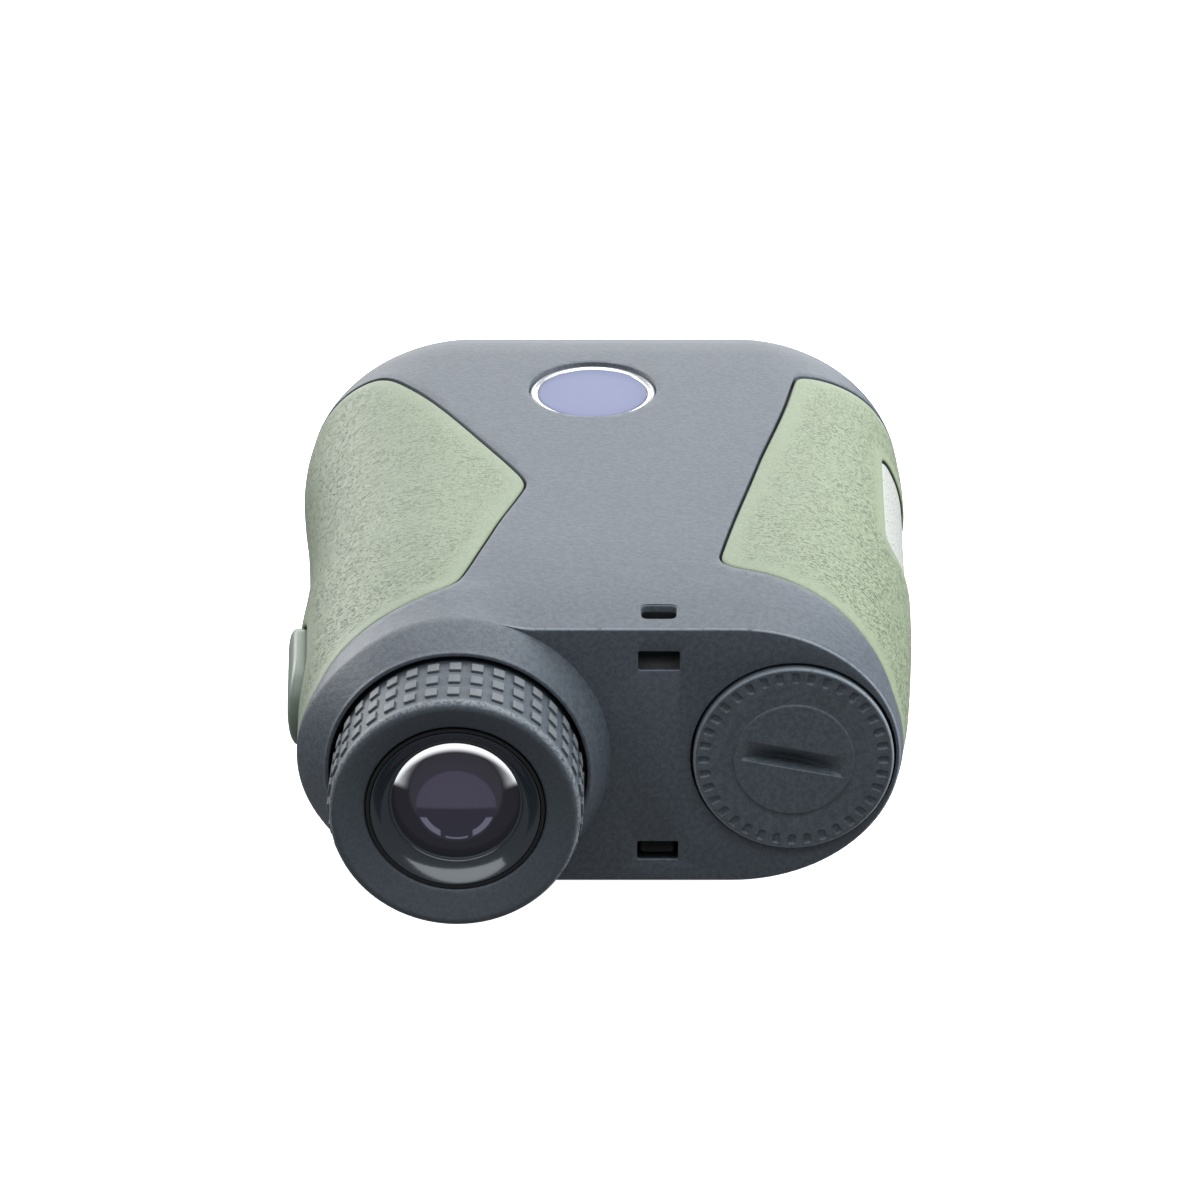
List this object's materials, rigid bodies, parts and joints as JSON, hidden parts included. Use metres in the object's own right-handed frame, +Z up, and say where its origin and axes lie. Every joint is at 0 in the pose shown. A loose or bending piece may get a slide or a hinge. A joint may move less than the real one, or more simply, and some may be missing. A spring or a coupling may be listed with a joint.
{
  "type": "laser rangefinder",
  "caption": "Handheld monocular laser rangefinder with rubber grips, studded eyecup with dioptre turn, screw battery cap, two push buttons and two front lenses.",
  "frame": {"origin": "centre of the flat underside it lies on, halfway along the body and under its middle plane", "axes": "+Y towards the front lenses, -Y towards the eyepiece, +Z up as it lies on its side, -X the side that is uppermost in use"},
  "size_m": [0.0754, 0.1058, 0.033],
  "materials": {
    "housing_plastic": "fine grained, mid grey",
    "cover_plastic": "fine grained, dark grey",
    "grip_rubber": "crinkled leather grain, sage green",
    "label_sheet": "smooth, pale",
    "badge_rim": "white enamel",
    "badge_face": "blue enamel",
    "eyecup_rubber": "matt, dark grey",
    "cap_plastic": "matt, dark grey",
    "button_rubber": "smooth, grey green",
    "black_plastic": "matt black",
    "gloss_black": "gloss black",
    "anodised": "black anodised",
    "coated_glass": "purple anti-reflection coating",
    "plain_glass": "clear",
    "seal_rubber": "black",
    "circuit_board": "green solder mask",
    "chip_black": "moulded, black",
    "copper_winding": "enamelled",
    "steel": "plated",
    "dark_steel": "blackened screws",
    "contact_metal": "plated spring strip",
    "cell_wrap": "printed film sleeve, left blank",
    "film_blue": "dipped film capacitor"
  },
  "bodies": {
    "body": {"main_housing": "housing_plastic", "front_cover": "cover_plastic", "cover_gasket": "seal_rubber", "cover_screws": "dark_steel", "grip_left": "grip_rubber", "grip_right": "grip_rubber", "label_plate": "label_sheet", "badge_rim": "badge_rim", "badge_face": "badge_face", "eyepiece_sleeve": "anodised", "sleeve_nut": "anodised", "prism_holder": "black_plastic", "half_prism": "plain_glass", "roof_prism": "plain_glass", "holder_cover": "black_plastic", "display_panel": "plain_glass", "display_frame": "black_plastic", "objective_barrel": "anodised", "objective_lens": "coated_glass", "objective_retainer": "anodised", "laser_barrel": "anodised", "collimator_lens": "coated_glass", "laser_diode": "contact_metal", "laser_board": "circuit_board", "pulse_capacitor": "film_blue", "detector_can": "steel", "detector_board": "circuit_board", "main_board": "circuit_board", "board_chips": "chip_black", "transformer": "copper_winding", "board_screws": "steel", "battery_tube": "black_plastic", "battery_cell": "cell_wrap", "cell_contact": "contact_metal", "power_switch": "chip_black", "button_board": "circuit_board", "mode_switch": "chip_black", "switch_board": "circuit_board"},
    "ocular": {"ocular_cell": "anodised", "eye_lens": "coated_glass", "lens_spacer": "black_plastic", "field_lens": "plain_glass", "ocular_retainer": "gloss_black"},
    "dioptre": {"dioptre_ring": "black_plastic", "eyecup": "eyecup_rubber"},
    "cap_lift": {"cap_seal": "seal_rubber"},
    "cap": {"battery_cap": "cap_plastic", "cap_contact": "contact_metal"},
    "power_key": {"power_button": "button_rubber"},
    "mode_key": {"mode_button": "button_rubber"}
  },
  "joints": [
    {"name": "dioptre_travel", "type": "slide", "parent": "body", "child": "ocular", "axis": [0, -1, 0], "range_m": [-0.00091, 0.00091]},
    {"name": "dioptre_turn", "type": "hinge", "parent": "ocular", "child": "dioptre", "pos_m": [-0.0152, -0.046, 0.0165], "axis": [0, -1, 0], "range_deg": [-120, 120]},
    {"name": "cap_travel", "type": "slide", "parent": "body", "child": "cap_lift", "axis": [0, -1, 0], "range_m": [0, 0.0031]},
    {"name": "cap_turn", "type": "hinge", "parent": "cap_lift", "child": "cap", "pos_m": [0.0209, -0.046, 0.0165], "axis": [0, -1, 0], "range_deg": [0, 720]},
    {"name": "power_press", "type": "slide", "parent": "body", "child": "power_key", "axis": [1, 0, 0], "range_m": [0, 0.0006], "stiffness_N_per_m": 1500},
    {"name": "mode_press", "type": "slide", "parent": "body", "child": "mode_key", "axis": [0, 0, 1], "range_m": [0, 0.0005], "stiffness_N_per_m": 1500}
  ],
  "couplings": [
    {"joint": "dioptre_travel", "follows": "dioptre_turn", "m_per_rad": 0.00042972},
    {"joint": "cap_travel", "follows": "cap_turn", "m_per_rad": 0.00023873}
  ]
}
